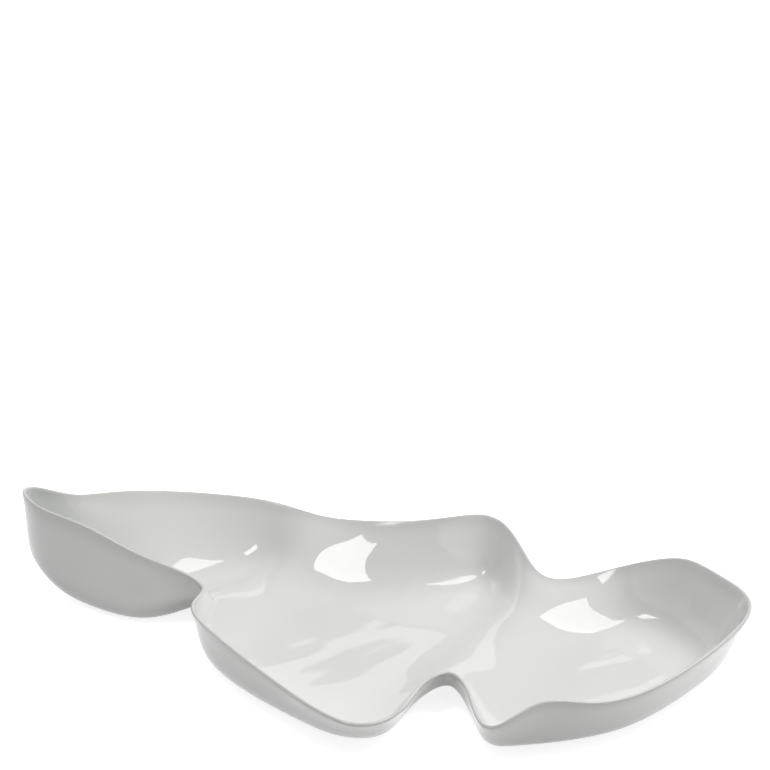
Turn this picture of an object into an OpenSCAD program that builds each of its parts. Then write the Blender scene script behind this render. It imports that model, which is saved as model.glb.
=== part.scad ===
// A leaf shaped serving platter: a glazed ceramic shell with three scooped lobes, on five stick-on pads.
// The leaf's tip points along -X and its base along +X. It stands on z = 0, with its box over the origin.

/* [Leaf] */
// Length of the leaf, from its tip to its base
leaf_l = 500; // [420:5:580]
// Width of the leaf across its middle lobes
leaf_w = 280; // [235:5:325]
// Height of the rim at the leaf's tip, above the table
tip_h = 70; // [58:1:82]

/* [Wall] */
// Thickness of the floor and of the wall below the lip
wall_t = 5; // [4:0.25:6]
// Thickness of the rounded lip
lip_t = 2.6; // [2:0.2:3.2]
// How far an ordinary wall leans outwards between the floor and the rim
flare = 10; // [6:0.5:11]

/* [Floor] */
// Height to which the floor climbs at the back of the tip
tip_rise_h = 34; // [28:1:38]
// Half width of that climb
tip_rise_w = 22; // [19:1:22]
// Half width of the soft ridges that divide the lobes
ridge_w = 27; // [22:1:31]
// Height of the ridge behind the tip lobe, halfway across the leaf
tip_ridge_h = 8; // [5:0.5:11]
// Height of the same ridge where it meets the notches in the rim
tip_ridge_end_h = 16; // [12:0.5:19]
// Height of the ridge in front of the base lobe, halfway across the leaf
base_ridge_h = 8; // [5:0.5:11]
// Height of the same ridge where it meets the notches in the rim
base_ridge_end_h = 13; // [10:0.5:15]

/* [Feet] */
// Depth of the flat foot that is wiped off under each lobe
foot_cut = 1; // [0.7:0.1:1.5]
// Diameter of a foot pad
pad_d = 12; // [9:0.5:15]
// Thickness of a foot pad
pad_t = 1.5; // [1:0.1:2.5]
// Radius of the rounded edge round the bottom of a pad
pad_edge_r = 0.4; // [0.2:0.05:0.6]

/* [Hidden] */

// The rim as control stations of a smooth closed curve, from the tip along the front to the base and back.
// Each row: place along leaf_l, place across leaf_w, height against tip_h, lean of the wall against flare.
rim_shares = [
    [-0.517, -0.018, 0.99, 0.6],    // leaf tip
    [-0.455, -0.111, 0.99, 0.6],    // tip lobe, front shoulder
    [-0.376, -0.090, 0.91, -0.8],   // tip lobe, front crest, curled inwards
    [-0.292, -0.096, 0.69, -1.0],   // tip lobe, front slope, curled inwards
    [-0.226, -0.043, 0.53, 0.4],    // tip lobe, front end
    [-0.196, -0.046, 0.40, 0.9],    // front notch behind the tip lobe
    [-0.194, -0.179, 0.50, 1.0],    // front lobe, corner
    [-0.100, -0.307, 0.56, 0.1],    // front lobe, long edge
    [0.030, -0.432, 0.56, 1.4],     // front lobe, end of the long edge
    [0.160, -0.518, 0.47, 2.8],     // front lobe, point
    [0.192, -0.379, 0.49, 1.8],     // front lobe, return to the notch
    [0.164, -0.229, 0.41, 0.8],     // front notch before the base lobe, left side
    [0.180, -0.111, 0.37, 0.2],     // front notch before the base lobe, crown
    [0.228, -0.179, 0.41, 0.3],     // front notch before the base lobe, right side
    [0.268, -0.300, 0.41, 0.8],     // base lobe, front corner, left side
    [0.308, -0.371, 0.44, 3.1],     // base lobe, front corner
    [0.344, -0.264, 0.71, 0.6],     // base lobe, front crest
    [0.404, -0.200, 0.54, 1.7],     // base lobe, front dip
    [0.460, -0.079, 0.60, 1.9],     // base lobe, front edge
    [0.496, 0.157, 0.66, 2.0],      // base lobe, end
    [0.512, 0.332, 0.77, 2.3],      // base lobe, back point
    [0.437, 0.412, 0.76, 1.4],      // base lobe, back edge
    [0.401, 0.446, 0.77, 1.2],      // base lobe, back top
    [0.367, 0.468, 0.76, 1.2],      // base lobe, back crest
    [0.300, 0.468, 0.57, 1.6],      // base lobe, back slope
    [0.244, 0.429, 0.42, 4.6],      // back notch before the base lobe, right side
    [0.190, 0.357, 0.37, 2.6],      // back notch before the base lobe, bottom
    [0.128, 0.464, 0.59, 1.6],      // back lobe, return from the notch
    [0.080, 0.514, 0.71, 1.6],      // back lobe, point
    [0.036, 0.443, 0.70, 2.0],      // back lobe, edge behind the point
    [-0.012, 0.389, 0.67, 2.6],     // back lobe, long edge, right part
    [-0.064, 0.361, 0.64, 4.0],     // back lobe, long edge, left part
    [-0.148, 0.350, 0.57, 4.0],     // back notch behind the tip lobe
    [-0.228, 0.364, 0.63, 2.0],     // tip lobe, back end
    [-0.324, 0.261, 0.74, 3.6],     // tip lobe, back edge
    [-0.396, 0.136, 0.87, 5.6],     // tip lobe, back crest
    [-0.444, 0.043, 0.86, 1.0],     // tip lobe, back dip
    [-0.480, 0.011, 0.94, 0.4],     // tip lobe, curl behind the tip
];
// Rows of rim_shares where the two ridges start at the front and end at the back
tip_notches = [5, 32];
base_notches = [12, 26];
// Row of rim_shares at which the floor climbs highest into the tip
tip_rise_row = 36;

// Places of the pads along leaf_l and across leaf_w
tip_pad_shares = [-0.312, -0.025];
front_pad_shares = [0.030, -0.200];
back_pad_shares = [0.050, 0.220];
base_front_pad_shares = [0.345, -0.045];
base_back_pad_shares = [0.370, 0.270];

// Steps of the mesh: columns to a station, rows from rim to spine, steps round the lip
station_steps = 4;
rib_steps = 12;
lip_steps = 4;
// How far the ends of the spine draw back from the rim
spine_draw_share = 0.33;
// Where the spine crosses the leaf's middle, how far it swings aside, and the angle of that swing over
// leaf_l
spine_middle_share = 0.0625;
spine_swing_share = 0.095;
spine_swing_a = 285;
// Where a rib lies down on the floor, between the foot of the wall and the spine
floor_share = 0.3;
// Part of a rib over which the lip thickens to the full wall
lip_share = 0.35;
// Step over which the slope of the floor is taken, against the ridges' half width
slope_step_share = 0.02;

stations = len(rim_shares);
columns = stations * station_steps;
half_columns = columns / 2;
rows = 2 * rib_steps + lip_steps;
floor_z = pad_t + wall_t - foot_cut;

// A smooth closed curve that a list of stations pulls into shape: the uniform cubic B-spline at a column
function station(list, j) = list[(j + stations) % stations];
function spline(list, column) =
    let (j = floor(column / station_steps), t = column / station_steps - j, r = 1 - t)
    (r * r * r * station(list, j - 1)
        + (3 * t * t * t - 6 * t * t + 4) * station(list, j)
        + (3 * r * r * r - 6 * r * r + 4) * station(list, j + 1)
        + t * t * t * station(list, j + 2)) / 6;
function curve(list) = [for (column = [0 : columns - 1]) spline(list, column)];

// The rim, the foot of the wall, the floor and the spine, each first as stations and then as a curve
rim = [for (s = rim_shares) [s[0] * leaf_l, s[1] * leaf_w, s[2] * tip_h]];
plan = [for (p = rim) [p.x, p.y]];
function inward(j) =
    let (along = station(plan, j + 1) - station(plan, j - 1))
    [-along.y, along.x] / norm(along);
foot = [for (j = [0 : stations - 1]) plan[j] + inward(j) * flare * rim_shares[j][3]];
function spine_at(middle) =
    let (x = middle.x * (1 - spine_draw_share * pow(2 * middle.x / leaf_l, 2)))
    [x, leaf_w * (spine_middle_share + spine_swing_share * sin(spine_swing_a * x / leaf_l))];
spine = [for (j = [0 : stations - 1]) spine_at((plan[j] + station(plan, -j)) / 2)];
lie = [for (j = [0 : stations - 1]) foot[j] + (spine[j] - foot[j]) * floor_share];
rim_curve = curve(rim);
foot_curve = curve(foot);
lie_curve = curve(lie);
spine_curve = curve(spine);

// The floor, with its climb into the tip and two soft ridges, which run from notch to notch and rise at
// both ends
function ridge_z(p, ends, middle_h, end_h) =
    let (
        a = plan[ends[0]],
        b = plan[ends[1]],
        axis = (b - a) / norm(b - a),
        run = 2 * (p - (a + b) / 2) * (b - a) / pow(norm(b - a), 2),
        off = cross(axis, p - a) / ridge_w,
        climb = (1 - cos(180 * run)) / 2
    )
    (middle_h + (end_h - middle_h) * climb) * exp(-off * off);
function tip_rise_z(p) =
    let (off = norm(p - plan[tip_rise_row]) / tip_rise_w)
    tip_rise_h * exp(-off * off);
function floor_at(p) =
    floor_z + tip_rise_z(p)
        + ridge_z(p, tip_notches, tip_ridge_h, tip_ridge_end_h)
        + ridge_z(p, base_notches, base_ridge_h, base_ridge_end_h);

// The upper face: each rib is a quartic curve that falls from the rim, turns at the foot of the wall, which
// counts twice, and lies down on the floor to the spine
function face_at(column, s) =
    let (
        q = 1 - s,
        rim_p = rim_curve[column],
        p = pow(q, 4) * [rim_p.x, rim_p.y]
            + (4 * pow(q, 3) * s + 6 * q * q * s * s) * foot_curve[column]
            + 4 * q * pow(s, 3) * lie_curve[column]
            + pow(s, 4) * spine_curve[column],
        z = floor_at(p)
    )
    [p.x, p.y, z + (rim_p.z - z) * pow(q, 4)];
upper = [for (k = [0 : rib_steps]) [for (i = [0 : columns - 1]) face_at(i, k / rib_steps)]];
function upper_at(k, i) = upper[k][(i + columns) % columns];

// Its normals, by differences; at the spine they come from the slope of the floor alone
slope_step = ridge_w * slope_step_share;
function floor_normal(p) =
    let (
        dx = floor_at([p.x + slope_step, p.y]) - floor_at([p.x - slope_step, p.y]),
        dy = floor_at([p.x, p.y + slope_step]) - floor_at([p.x, p.y - slope_step])
    )
    [-dx, -dy, 2 * slope_step];
function rib_normal(k, i) =
    cross(upper_at(k, i + 1) - upper_at(k, i - 1), upper_at(k + 1, i) - upper_at(max(k - 1, 0), i));
function unit(v) = v / norm(v);
function normal_at(k, i) = unit(k == rib_steps ? floor_normal(upper_at(k, i)) : rib_normal(k, i));

// The under face lies one wall below, and is wiped flat where the lobes stand on their pads
function thickness(k) =
    let (grow = min(1, k / rib_steps / lip_share))
    lip_t + (wall_t - lip_t) * grow * grow * (3 - 2 * grow);
function under_at(k, i) =
    let (p = upper_at(k, i) - normal_at(k, i) * thickness(k))
    [p.x, p.y, max(p.z, pad_t)];
under = [for (k = [0 : rib_steps]) [for (i = [0 : columns - 1]) under_at(k, i)]];

// The lip is a half round that joins the two faces
function lip_at(step, i) =
    let (
        middle = (upper[0][i] + under[0][i]) / 2,
        half = (upper[0][i] - under[0][i]) / 2,
        out = unit(upper[0][i] - upper[1][i]),
        turn = 180 * step / lip_steps
    )
    middle + half * cos(turn) + out * norm(half) * sin(turn);

// All points, from the spine up the inside, over the lip and down the outside to the spine again
upper_spine = [for (i = [0 : half_columns]) upper[rib_steps][i]];
under_spine = [for (i = [0 : half_columns]) under[rib_steps][i]];
rings = concat(
    [for (k = [rib_steps - 1 : -1 : 0]) upper[k]],
    [for (step = [1 : lip_steps - 1]) [for (i = [0 : columns - 1]) lip_at(step, i)]],
    [for (k = [0 : rib_steps - 1]) under[k]]
);
shell_points = concat(upper_spine, [for (ring = rings) each ring], under_spine);
function spine_index(i) = min(i, columns - i);
function point_index(row, i) =
    row == 0 ? spine_index(i)
    : row == rows ? half_columns + 1 + len(rings) * columns + spine_index(i)
    : half_columns + 1 + (row - 1) * columns + i % columns;
// Each four-sided patch is split so that the ribs at the two ends of the spine meet only its end points
shell_faces = [
    for (row = [0 : rows - 1], i = [0 : columns - 1])
        let (
            a = point_index(row, i),
            b = point_index(row, i + 1),
            c = point_index(row + 1, i + 1),
            d = point_index(row + 1, i),
            to_end = (i % half_columns < half_columns / 2) == (row < rows / 2)
        )
        each to_end ? [[a, b, c], [a, c, d]] : [[a, b, d], [b, c, d]]
];

// The middle of the shell's own box, which stands over the origin
function middle_of(values) = (min(values) + max(values)) / 2;
box_middle = [middle_of([for (p = shell_points) p.x]), middle_of([for (p = shell_points) p.y])];

module platter_shell() {
    color("#e4e5e1")
        translate(-box_middle)
            polyhedron(points = shell_points, faces = shell_faces, convexity = 10);
}

// One pad: a soft disc stuck to the wiped foot, rounded round its lower edge
module foot_pad(place_shares) {
    place = [place_shares.x * leaf_l, place_shares.y * leaf_w] - box_middle;
    color("#b9bdbb")
        translate(place)
            rotate_extrude($fn = 64)
                intersection() {
                    square([pad_d / 2, pad_t]);
                    union() {
                        translate([0, pad_edge_r])
                            square([pad_d / 2, pad_t]);
                        square([pad_d / 2 - pad_edge_r, pad_t]);
                        translate([pad_d / 2 - pad_edge_r, pad_edge_r])
                            circle(r = pad_edge_r, $fn = 32);
                    }
                }
}

module tip_pad() { foot_pad(tip_pad_shares); }
module front_pad() { foot_pad(front_pad_shares); }
module back_pad() { foot_pad(back_pad_shares); }
module base_front_pad() { foot_pad(base_front_pad_shares); }
module base_back_pad() { foot_pad(base_back_pad_shares); }

platter_shell();
tip_pad();
front_pad();
back_pad();
base_front_pad();
base_back_pad();
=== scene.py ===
import math

import bpy
import numpy as np
from mathutils import Matrix, Vector, noise


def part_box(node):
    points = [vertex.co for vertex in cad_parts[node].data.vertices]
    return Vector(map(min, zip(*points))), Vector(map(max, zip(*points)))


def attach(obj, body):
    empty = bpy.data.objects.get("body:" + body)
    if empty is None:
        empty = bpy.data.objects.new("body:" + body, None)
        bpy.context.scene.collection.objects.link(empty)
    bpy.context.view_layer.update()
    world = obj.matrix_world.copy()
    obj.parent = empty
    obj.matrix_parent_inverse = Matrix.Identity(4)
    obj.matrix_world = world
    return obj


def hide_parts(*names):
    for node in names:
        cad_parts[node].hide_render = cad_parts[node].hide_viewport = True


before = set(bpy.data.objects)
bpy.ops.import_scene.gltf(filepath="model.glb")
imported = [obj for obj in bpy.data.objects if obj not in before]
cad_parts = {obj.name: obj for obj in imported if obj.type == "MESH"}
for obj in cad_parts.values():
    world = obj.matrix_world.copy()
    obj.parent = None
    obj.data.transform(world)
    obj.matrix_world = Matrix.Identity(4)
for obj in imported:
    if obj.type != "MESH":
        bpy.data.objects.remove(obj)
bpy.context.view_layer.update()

# The platter itself: one shell of white earthenware, slip cast in a plaster mould so that three scooped
# lobes run into each other over soft ridges, then fired and dipped in a glossy off-white glaze. The lip is
# sponged round by hand, and the feet under the lobes are wiped bare before the glaze firing.
MM = 0.001
leaf_l = 500 * MM
leaf_w = 280 * MM
tip_h = 70 * MM
wall_t = 5 * MM
lip_t = 2.6 * MM
flare = 10 * MM
tip_rise_h = 34 * MM
tip_rise_w = 22 * MM
ridge_w = 27 * MM
ridge_middle_h = 8 * MM
tip_ridge_end_h = 16 * MM
base_ridge_end_h = 13 * MM
foot_cut = 1 * MM
pad_t = 1.5 * MM
floor_z = pad_t + wall_t - foot_cut
# The hand-finished face swells and sinks a little in long strokes, which makes its reflections wander.
# Each row: height, width across the strokes, length along them.
swells = (
    (0.32 * MM, 28 * MM, 70 * MM),
    (0.13 * MM, 12 * MM, 40 * MM),
    (0.035 * MM, 5 * MM, 18 * MM),
)
stroke_angle = math.radians(60)

# The rim as control stations of a smooth closed curve, from the tip along the front to the base and back.
# Each row: place along leaf_l, place across leaf_w, height against tip_h, lean of the wall against flare.
rim_shares = np.array([
    [-0.517, -0.018, 0.99, 0.6],    # leaf tip
    [-0.455, -0.111, 0.99, 0.6],    # tip lobe, front shoulder
    [-0.376, -0.090, 0.91, -0.8],   # tip lobe, front crest, curled inwards
    [-0.292, -0.096, 0.69, -1.0],   # tip lobe, front slope, curled inwards
    [-0.226, -0.043, 0.53, 0.4],    # tip lobe, front end
    [-0.196, -0.046, 0.40, 0.9],    # front notch behind the tip lobe
    [-0.194, -0.179, 0.50, 1.0],    # front lobe, corner
    [-0.100, -0.307, 0.56, 0.1],    # front lobe, long edge
    [0.030, -0.432, 0.56, 1.4],     # front lobe, end of the long edge
    [0.160, -0.518, 0.47, 2.8],     # front lobe, point
    [0.192, -0.379, 0.49, 1.8],     # front lobe, return to the notch
    [0.164, -0.229, 0.41, 0.8],     # front notch before the base lobe, left side
    [0.180, -0.111, 0.37, 0.2],     # front notch before the base lobe, crown
    [0.228, -0.179, 0.41, 0.3],     # front notch before the base lobe, right side
    [0.268, -0.300, 0.41, 0.8],     # base lobe, front corner, left side
    [0.308, -0.371, 0.44, 3.1],     # base lobe, front corner
    [0.344, -0.264, 0.71, 0.6],     # base lobe, front crest
    [0.404, -0.200, 0.54, 1.7],     # base lobe, front dip
    [0.460, -0.079, 0.60, 1.9],     # base lobe, front edge
    [0.496, 0.157, 0.66, 2.0],      # base lobe, end
    [0.512, 0.332, 0.77, 2.3],      # base lobe, back point
    [0.437, 0.412, 0.76, 1.4],      # base lobe, back edge
    [0.401, 0.446, 0.77, 1.2],      # base lobe, back top
    [0.367, 0.468, 0.76, 1.2],      # base lobe, back crest
    [0.300, 0.468, 0.57, 1.6],      # base lobe, back slope
    [0.244, 0.429, 0.42, 4.6],      # back notch before the base lobe, right side
    [0.190, 0.357, 0.37, 2.6],      # back notch before the base lobe, bottom
    [0.128, 0.464, 0.59, 1.6],      # back lobe, return from the notch
    [0.080, 0.514, 0.71, 1.6],      # back lobe, point
    [0.036, 0.443, 0.70, 2.0],      # back lobe, edge behind the point
    [-0.012, 0.389, 0.67, 2.6],     # back lobe, long edge, right part
    [-0.064, 0.361, 0.64, 4.0],     # back lobe, long edge, left part
    [-0.148, 0.350, 0.57, 4.0],     # back notch behind the tip lobe
    [-0.228, 0.364, 0.63, 2.0],     # tip lobe, back end
    [-0.324, 0.261, 0.74, 3.6],     # tip lobe, back edge
    [-0.396, 0.136, 0.87, 5.6],     # tip lobe, back crest
    [-0.444, 0.043, 0.86, 1.0],     # tip lobe, back dip
    [-0.480, 0.011, 0.94, 0.4],     # tip lobe, curl behind the tip
])
# Rows where the two ridges start and end, and where the floor climbs highest into the tip
tip_notches = (5, 32)
base_notches = (12, 26)
tip_rise_row = 36

# Finer steps than the solid has, so that the gloss runs smoothly: columns to a station, rows from the rim to
# the spine, and steps round the lip
station_steps = 16
rib_steps = 48
lip_steps = 8
# The spine: how far it is drawn in at its ends, where it lies across the leaf, and how it swings
spine_draw_share = 0.33
spine_middle_share = 0.0625
spine_swing_share = 0.095
spine_swing_angle = math.radians(285)
# How far from the foot to the spine a rib lies down, and how far down a rib the wall has its full thickness
floor_share = 0.3
lip_share = 0.35
# How far down a rib the glaze is thin and its colour painted greyer as shade, and how fast the swell grows
# there
thin_glaze_and_shade_share = 0.05
swell_growth = 3
slope_step = 0.54 * MM
weld_gap = 0.001 * MM

stations = len(rim_shares)
columns = stations * station_steps


def curve(list_of_stations):
    """The uniform cubic B-spline that a closed list of stations pulls into shape, at every column."""
    place = np.arange(columns) / station_steps
    j = place.astype(int)
    t = (place - j)[:, None]
    r = 1 - t
    weights = (r ** 3, 3 * t ** 3 - 6 * t ** 2 + 4, 3 * r ** 3 - 6 * r ** 2 + 4, t ** 3)
    return sum(w * list_of_stations[(j + k - 1) % stations] for k, w in enumerate(weights)) / 6


rim = rim_shares[:, :3] * (leaf_l, leaf_w, tip_h)
plan = rim[:, :2]
along = np.roll(plan, -1, axis=0) - np.roll(plan, 1, axis=0)
inward = np.column_stack([-along[:, 1], along[:, 0]]) / np.linalg.norm(along, axis=1)[:, None]
foot = plan + inward * flare * rim_shares[:, 3:]
middle_x = (plan[:, 0] + plan[-np.arange(stations) % stations, 0]) / 2
spine_x = middle_x * (1 - spine_draw_share * (2 * middle_x / leaf_l) ** 2)
spine_y = leaf_w * (spine_middle_share + spine_swing_share * np.sin(spine_swing_angle * spine_x / leaf_l))
spine = np.column_stack([spine_x, spine_y])
lie = foot + (spine - foot) * floor_share


def floor_at(p):
    """Height of the floor at places in plan, with its climb into the tip and its two ridges."""
    off_tip = np.linalg.norm(p - plan[tip_rise_row], axis=-1) / tip_rise_w
    z = floor_z + tip_rise_h * np.exp(-off_tip ** 2)
    for (first, last), end_h in ((tip_notches, tip_ridge_end_h), (base_notches, base_ridge_end_h)):
        a, b = plan[first], plan[last]
        length = np.linalg.norm(b - a)
        axis = (b - a) / length
        run = 2 * ((p - (a + b) / 2) @ axis) / length
        off = ((p - a) @ np.array([-axis[1], axis[0]])) / ridge_w
        climb = (1 - np.cos(math.pi * run)) / 2
        z = z + (ridge_middle_h + (end_h - ridge_middle_h) * climb) * np.exp(-off ** 2)
    return z


# The upper face: quartic ribs that fall from the rim, turn at the foot of the wall and lie down to the spine
s = np.linspace(0, 1, rib_steps + 1)[:, None, None]
q = 1 - s
rim_curve = curve(rim)
upper_plan = (q ** 4 * rim_curve[:, :2] + (4 * q ** 3 * s + 6 * q ** 2 * s ** 2) * curve(foot)
              + 4 * q * s ** 3 * curve(lie) + s ** 4 * curve(spine))
upper_floor = floor_at(upper_plan)
upper_z = upper_floor + (rim_curve[:, 2] - upper_floor) * q[..., 0] ** 4
upper = np.concatenate([upper_plan, upper_z[..., None]], axis=2)


def unit(v):
    """Vectors brought to length one."""
    return v / np.linalg.norm(v, axis=-1, keepdims=True)


# Normals of the upper face; along the spine they come from the floor's own slope
round_rim = np.roll(upper, -1, axis=1) - np.roll(upper, 1, axis=1)
down_rib = np.gradient(upper, axis=0)
normals = np.cross(round_rim, down_rib)
spine_plan = upper_plan[-1]
normals[-1, :, 0] = floor_at(spine_plan - (slope_step, 0)) - floor_at(spine_plan + (slope_step, 0))
normals[-1, :, 1] = floor_at(spine_plan - (0, slope_step)) - floor_at(spine_plan + (0, slope_step))
normals[-1, :, 2] = 2 * slope_step
normals = unit(normals)

# The under face lies one wall below and is wiped flat at the feet; the lip is a half round between the two
grow = np.minimum(1, s / lip_share)
under = upper - normals * (lip_t + (wall_t - lip_t) * grow ** 2 * (3 - 2 * grow))
under[..., 2] = np.maximum(under[..., 2], pad_t)
lip_middle = (upper[0] + under[0]) / 2
lip_half = (upper[0] - under[0]) / 2
lip_out = unit(upper[0] - upper[1]) * np.linalg.norm(lip_half, axis=1)[:, None]
lip_turns = [math.pi * step / lip_steps for step in range(1, lip_steps)]
lip = np.array([lip_middle + lip_half * math.cos(turn) + lip_out * math.sin(turn) for turn in lip_turns])

# The swell of the finished face dies out towards the lip
stroke = np.array([math.cos(stroke_angle), math.sin(stroke_angle)])
along_stroke = (upper[..., :2] @ stroke).ravel()
across_stroke = (upper[..., :2] @ np.array([stroke[1], -stroke[0]])).ravel()
swell = np.zeros(columns * (rib_steps + 1))
for swell_h, swell_w, swell_l in swells:
    waves = zip(across_stroke / swell_w, along_stroke / swell_l, upper[..., 2].ravel() / swell_w)
    swell += swell_h * np.array([noise.noise(Vector(wave)) for wave in waves])
swell = swell.reshape(upper.shape[:2]) * np.minimum(1, swell_growth * s[..., 0])
upper = upper + normals * swell[..., None]

# The rings of points from the spine over the lip and back, set where the solid stands
rings = np.concatenate([upper[::-1], lip, under])
points = rings.reshape(-1, 3)
shell_low, shell_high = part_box("platter_shell")
box_middle = (points.min(axis=0) + points.max(axis=0)) / 2
points[:, :2] += (np.array(shell_low) + np.array(shell_high))[:2] / 2 - box_middle[:2]
faces = []
for row in range(len(rings) - 1):
    for i in range(columns):
        a, b = row * columns + i, row * columns + (i + 1) % columns
        faces.append((a, b, b + columns, a + columns))
mesh = bpy.data.meshes.new("platter_shell_glazed")
mesh.from_pydata(points.tolist(), [], faces)
# A share of the way down the wall, kept on the mesh, lets the glaze thin out over the lip, where it is less
# glossy and its colour is painted greyer as shade
down_wall = np.concatenate([s[::-1, 0, 0], np.zeros(len(lip)), s[:, 0, 0]])
# Painted shade mask: one at the lip, where the greyer colour and the duller gloss go, falling to nothing a
# little way down
lip_thin_and_shaded = np.repeat(np.clip(1 - down_wall / thin_glaze_and_shade_share, 0, 1), columns)
mesh.attributes.new("lip_thin_and_shaded", "FLOAT", "POINT").data.foreach_set("value", lip_thin_and_shaded)
mesh.shade_smooth()


def add_object(name, data):
    """A new object of the scene that carries this mesh, lamp or camera."""
    thing = bpy.data.objects.new(name, data)
    bpy.context.scene.collection.objects.link(thing)
    return thing


platter = add_object("platter_shell_glazed", mesh)
# The two sides of the spine meet on one line, so their points are welded
weld = platter.modifiers.new("spine weld", "WELD")
weld.merge_threshold = weld_gap
with bpy.context.temp_override(object=platter):
    bpy.ops.object.modifier_apply(modifier=weld.name)


def linear(hex_colour):
    """An sRGB hex colour as the linear values that a shader takes."""
    parts = [int(hex_colour[k:k + 2], 16) / 255 for k in (0, 2, 4)]
    return tuple(c / 12.92 if c <= 0.04045 else ((c + 0.055) / 1.055) ** 2.4 for c in parts) + (1,)


def add_node(tree, kind, settings=None, inputs=None, links=None):
    """Adds one node: its own settings, the values of its sockets, and the sockets that feed it."""
    node = tree.nodes.new(kind)
    for name, value in (settings or {}).items():
        setattr(node, name, value)
    for name, value in (inputs or {}).items():
        node.inputs[name].default_value = value
    for name, source in (links or {}).items():
        tree.links.new(source, node.inputs[name])
    return node


def empty_material(name):
    """A material whose nodes are all still to be added."""
    material = bpy.data.materials.new(name)
    material.use_nodes = True
    material.node_tree.nodes.clear()
    return material


def patches(tree, place, width, detail):
    """A cloudy pattern between zero and one, in patches of about this width."""
    pattern = add_node(tree, "ShaderNodeTexNoise", inputs={"Scale": 1 / width, "Detail": detail},
                       links={"Vector": place})
    return pattern.outputs["Fac"]


# Glazed earthenware: a clear glassy coat with a little white in it, over a pale body. The eye sees a cool
# off-white that clouds slightly where the coat pools and mirrors sharply; over the lip, where the glaze
# thins, its colour is painted greyer as shade on the lit bead. The wiped feet show the bare body, chalky and
# warmer.
glaze_cool = linear("e4e5e3")
glaze_pooled = linear("dfe0de")
# Painted shade: the lip's colour is greyer than the coat, so that the bead of the lip, lit from above, reads
# darker
lip_thin_glaze_painted_shade = linear("d3d4d1")
glaze_ior = 1.58
glaze_roughness = (0.02, 0.05)
lip_roughness = 0.12
cloud_w, cloud_detail = 45 * MM, 3.0
smear_w, smear_detail = 18 * MM, 2.0
ripple_w, ripple_detail = 7 * MM, 1.0
ripple_h = 0.006 * MM
ripple_strength = 1.0
glaze_line_w, glaze_line_detail = 4 * MM, 2.0
glaze_line_h = 0.12 * MM
body_bare = linear("dcd5c6")
body_shade = linear("cfc7b6")
body_roughness = 0.85
grain_w, grain_detail = 1.2 * MM, 4.0
grain_h = 0.05 * MM
grain_strength = 0.6

glaze = empty_material("glazed earthenware")
tree = glaze.node_tree
place = add_node(tree, "ShaderNodeTexCoord").outputs["Object"]
thin_shaded_lip = add_node(tree, "ShaderNodeAttribute", {"attribute_name": "lip_thin_and_shaded"}).outputs["Fac"]
pooled = add_node(tree, "ShaderNodeMix", {"data_type": "RGBA"}, {6: glaze_cool, 7: glaze_pooled},
                  {0: patches(tree, place, cloud_w, cloud_detail)})
# Painted shade: over the lip the coat takes the greyer lip colour
coat_colour_with_lip_shade = add_node(tree, "ShaderNodeMix", {"data_type": "RGBA"}, {7: lip_thin_glaze_painted_shade},
                       {0: thin_shaded_lip, 6: pooled.outputs[2]})
gloss = add_node(tree, "ShaderNodeMapRange",
                 inputs={"To Min": glaze_roughness[0], "To Max": glaze_roughness[1]},
                 links={"Value": patches(tree, place, smear_w, smear_detail)})
lip_gloss = add_node(tree, "ShaderNodeMix", {"data_type": "FLOAT"}, {3: lip_roughness},
                     {0: thin_shaded_lip, 2: gloss.outputs["Result"]})
rippled = add_node(tree, "ShaderNodeBump", inputs={"Strength": ripple_strength, "Distance": ripple_h},
                   links={"Height": patches(tree, place, ripple_w, ripple_detail)})
coat = add_node(tree, "ShaderNodeBsdfPrincipled", inputs={"IOR": glaze_ior},
                links={"Base Color": coat_colour_with_lip_shade.outputs[2], "Roughness": lip_gloss.outputs[0],
                       "Normal": rippled.outputs["Normal"]})
grain = patches(tree, place, grain_w, grain_detail)
bare_colour = add_node(tree, "ShaderNodeMix", {"data_type": "RGBA"}, {6: body_bare, 7: body_shade},
                       {0: grain})
grained = add_node(tree, "ShaderNodeBump", inputs={"Strength": grain_strength, "Distance": grain_h},
                   links={"Height": grain})
bare = add_node(tree, "ShaderNodeBsdfPrincipled", inputs={"Roughness": body_roughness},
                links={"Base Color": bare_colour.outputs[2], "Normal": grained.outputs["Normal"]})
# The glaze ends in a wandering line just above the wiped foot
height = add_node(tree, "ShaderNodeSeparateXYZ", links={"Vector": place}).outputs["Z"]
line = add_node(tree, "ShaderNodeMapRange", inputs={"To Min": pad_t, "To Max": pad_t + 2 * glaze_line_h},
                links={"Value": patches(tree, place, glaze_line_w, glaze_line_detail)})
glazed = add_node(tree, "ShaderNodeMath", {"operation": "GREATER_THAN"},
                  links={0: height, 1: line.outputs["Result"]})
finish = add_node(tree, "ShaderNodeMixShader",
                  links={0: glazed.outputs[0], 1: bare.outputs["BSDF"], 2: coat.outputs["BSDF"]})
add_node(tree, "ShaderNodeOutputMaterial", links={"Surface": finish.outputs["Shader"]})
mesh.materials.append(glaze)
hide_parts("platter_shell")
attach(platter, "root")

# Five foot pads: soft grey silicone rubber discs, die cut with a rounded lower edge and stuck to the wiped
# feet by a thin film of adhesive, so that the platter neither slides nor scratches the table.
pad_edge_r = 0.4 * MM
film_t = 0.1 * MM
film_inset = 0.25 * MM
pad_turns = 64
edge_steps = 6

# Silicone rubber, moulded against a fine matt tool: an even pale grey with a soft sheen and a dusty bloom
rubber_dark = linear("b4b8b6")
rubber_bloom = linear("bec2c0")
rubber_roughness = 0.55
rubber_ior = 1.41
bloom_w, bloom_detail = 3 * MM, 3.0
matt_w, matt_detail = 0.3 * MM, 1.0
matt_h = 0.02 * MM
matt_strength = 0.4

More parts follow.
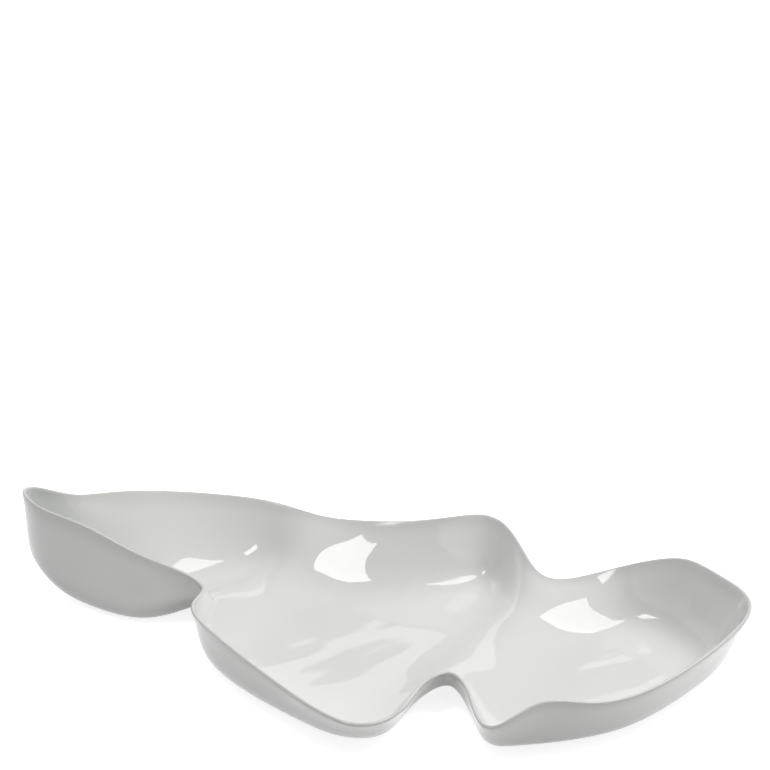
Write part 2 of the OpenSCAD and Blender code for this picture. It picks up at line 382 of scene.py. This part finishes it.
rubber = empty_material("silicone rubber")
tree = rubber.node_tree
place = add_node(tree, "ShaderNodeTexCoord").outputs["Object"]
bloom_colour = add_node(tree, "ShaderNodeMix", {"data_type": "RGBA"}, {6: rubber_dark, 7: rubber_bloom},
                        {0: patches(tree, place, bloom_w, bloom_detail)})
matt_face = add_node(tree, "ShaderNodeBump", inputs={"Strength": matt_strength, "Distance": matt_h},
                     links={"Height": patches(tree, place, matt_w, matt_detail)})
soft = add_node(tree, "ShaderNodeBsdfPrincipled", inputs={"Roughness": rubber_roughness, "IOR": rubber_ior},
                links={"Base Color": bloom_colour.outputs[2], "Normal": matt_face.outputs["Normal"]})
add_node(tree, "ShaderNodeOutputMaterial", links={"Surface": soft.outputs["BSDF"]})

for node in ("tip_pad", "front_pad", "back_pad", "base_front_pad", "base_back_pad"):
    low, high = (np.array(corner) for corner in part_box(node))
    centre = (low + high) / 2
    radius = (high[0] - low[0]) / 2
    # The profile, from the flat lower face round the edge and up to the film under the foot
    profile = []
    for step in range(edge_steps + 1):
        turn = math.pi / 2 * step / edge_steps
        profile.append((radius - pad_edge_r + pad_edge_r * math.sin(turn),
                        low[2] + pad_edge_r - pad_edge_r * math.cos(turn)))
    film_r = radius - film_inset
    profile += [(radius, high[2] - film_t), (film_r, high[2] - film_t), (film_r, high[2])]
    pad_points = [(centre[0], centre[1], low[2])]
    for r, z in profile:
        for k in range(pad_turns):
            a = 2 * math.pi * k / pad_turns
            pad_points.append((centre[0] + r * math.cos(a), centre[1] + r * math.sin(a), z))
    top = len(pad_points)
    pad_points.append((centre[0], centre[1], high[2]))
    last = top - pad_turns
    pad_faces = []
    for k in range(pad_turns):
        nxt = (k + 1) % pad_turns
        pad_faces.append((0, 1 + nxt, 1 + k))
        for ring in range(len(profile) - 1):
            a, b = 1 + ring * pad_turns + k, 1 + ring * pad_turns + nxt
            pad_faces.append((a, b, b + pad_turns, a + pad_turns))
        pad_faces.append((last + k, last + nxt, top))
    pad_mesh = bpy.data.meshes.new(node + "_rubber")
    pad_mesh.from_pydata(pad_points, [], pad_faces)
    pad_mesh.materials.append(rubber)
    pad_mesh.shade_smooth()
    pad = add_object(node + "_rubber", pad_mesh)
    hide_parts(node)
    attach(pad, "root")

# The floor: a wide sheet of white studio paper that the platter stands on. The camera sees it as white, with
# what is left of the platter's soft shadow.
paper_half_w = 4.0
paper_corners = ((-1, -1), (1, -1), (1, 1), (-1, 1))
paper_mesh = bpy.data.meshes.new("studio_paper")
paper_mesh.from_pydata([(x * paper_half_w, y * paper_half_w, 0) for x, y in paper_corners], [],
                       [(0, 1, 2, 3)])
paper_floor = add_object("studio_paper", paper_mesh)


def seen_rays(tree):
    """One for the rays by which a thing is looked at: straight, in a reflection or through glass."""
    path = add_node(tree, "ShaderNodeLightPath").outputs
    seen = path["Is Camera Ray"]
    for kind in ("Is Glossy Ray", "Is Transmission Ray"):
        either = add_node(tree, "ShaderNodeMath", {"operation": "MAXIMUM"}, links={0: seen, 1: path[kind]})
        seen = either.outputs[0]
    return seen


# Matt white paper: it scatters light evenly, and its own white is lifted where it is seen as background
paper_white = linear("d4d4d4")
paper_lift = 0.8
lift_white = linear("ffffff")
paper = empty_material("studio paper")
tree = paper.node_tree
scatter = add_node(tree, "ShaderNodeBsdfDiffuse", inputs={"Color": paper_white})
lift = add_node(tree, "ShaderNodeMath", {"operation": "MULTIPLY"}, {1: paper_lift}, {0: seen_rays(tree)})
lifted = add_node(tree, "ShaderNodeEmission", inputs={"Color": lift_white},
                  links={"Strength": lift.outputs[0]})
paper_sum = add_node(tree, "ShaderNodeAddShader", links={0: scatter.outputs[0], 1: lifted.outputs[0]})
add_node(tree, "ShaderNodeOutputMaterial", links={"Surface": paper_sum.outputs[0]})
paper_mesh.materials.append(paper)

# The room: what is seen of it is a white backdrop up to a height, and a grey ceiling over it. What lights
# the platter comes mostly from behind, from the left and the right, and little from the camera's side.
backdrop_top = math.sin(math.radians(28.3))
ceiling_foot = math.sin(math.radians(28.9))
backdrop_level = 1.0
ceiling_level = 0.15
# The fill from behind spans the whole room, from straight against its axis to straight along it
rear_axis = (-0.60, 0.60, 0.53)
rear_levels = (0.02, 0.53)
against_axis = -1.0
right_axis = (0.80, 0.25, 0.55)
right_level = 0.31
room_white = linear("ffffff")

world = bpy.data.worlds.new("studio room")
world.use_nodes = True
bpy.context.scene.world = world
tree = world.node_tree
tree.nodes.clear()
direction = add_node(tree, "ShaderNodeTexCoord").outputs["Generated"]
up = add_node(tree, "ShaderNodeSeparateXYZ", links={"Vector": direction}).outputs["Z"]
backdrop = add_node(tree, "ShaderNodeMapRange", {"interpolation_type": "SMOOTHSTEP"},
                    {"From Min": backdrop_top, "From Max": ceiling_foot,
                     "To Min": backdrop_level, "To Max": ceiling_level}, {"Value": up})
rear = add_node(tree, "ShaderNodeVectorMath", {"operation": "DOT_PRODUCT"}, {1: rear_axis}, {0: direction})
rear_fill = add_node(tree, "ShaderNodeMapRange",
                     inputs={"From Min": against_axis, "To Min": rear_levels[0], "To Max": rear_levels[1]},
                     links={"Value": rear.outputs["Value"]})
right = add_node(tree, "ShaderNodeVectorMath", {"operation": "DOT_PRODUCT"}, {1: right_axis}, {0: direction})
right_fill = add_node(tree, "ShaderNodeMapRange", inputs={"To Max": right_level},
                      links={"Value": right.outputs["Value"]})
fill = add_node(tree, "ShaderNodeMath", {"operation": "ADD"},
                links={0: rear_fill.outputs["Result"], 1: right_fill.outputs["Result"]})
room = add_node(tree, "ShaderNodeMix", {"data_type": "FLOAT"},
                links={0: seen_rays(tree), 2: fill.outputs[0], 3: backdrop.outputs["Result"]})
room_light = add_node(tree, "ShaderNodeBackground", inputs={"Color": room_white},
                      links={"Strength": room.outputs[0]})
add_node(tree, "ShaderNodeOutputWorld", links={"Surface": room_light.outputs[0]})

# Two softboxes hang over the platter, before and behind it, and their images lie in the glaze.
# Each row: name, where it hangs in metres, width, length, turn in plan in degrees, brightness.
softboxes = (
    ("front_softbox", (-0.145, -0.385, 1.247), 0.36, 0.43, -34, 6.8),
    ("rear_softbox", (0.554, 0.438, 1.127), 0.73, 0.70, 11, 4.7),
)
for name, hangs, width, length, turn, brightness in softboxes:
    lamp = bpy.data.lights.new(name, "AREA")
    lamp.shape = "RECTANGLE"
    lamp.size = width
    lamp.size_y = length
    lamp.energy = brightness * math.pi * width * length
    away = Vector(hangs).normalized()
    side = Vector((math.cos(math.radians(turn)), math.sin(math.radians(turn)), 0))
    side = (side - away * side.dot(away)).normalized()
    box = add_object(name, lamp)
    box.matrix_world = Matrix((side, away.cross(side), away)).transposed().to_4x4()
    box.location = hangs

# The camera stands in front, to the right and above, and looks past the platter with room over it
camera_turn = math.radians(27)
camera_rise = math.radians(28)
camera_pitch = math.radians(22.76)
camera_distance = 1.7
camera_lens = 118.3
aim = Vector((0.0215, 0.0100, 0.025))
camera = add_object("camera", bpy.data.cameras.new("camera"))
camera.data.lens = camera_lens
camera.location = aim + camera_distance * Vector((math.sin(camera_turn) * math.cos(camera_rise),
                                                  -math.cos(camera_turn) * math.cos(camera_rise),
                                                  math.sin(camera_rise)))
camera.rotation_euler = (math.pi / 2 - camera_pitch, 0, camera_turn)
bpy.context.scene.camera = camera
bpy.context.scene.view_settings.view_transform = "Standard"
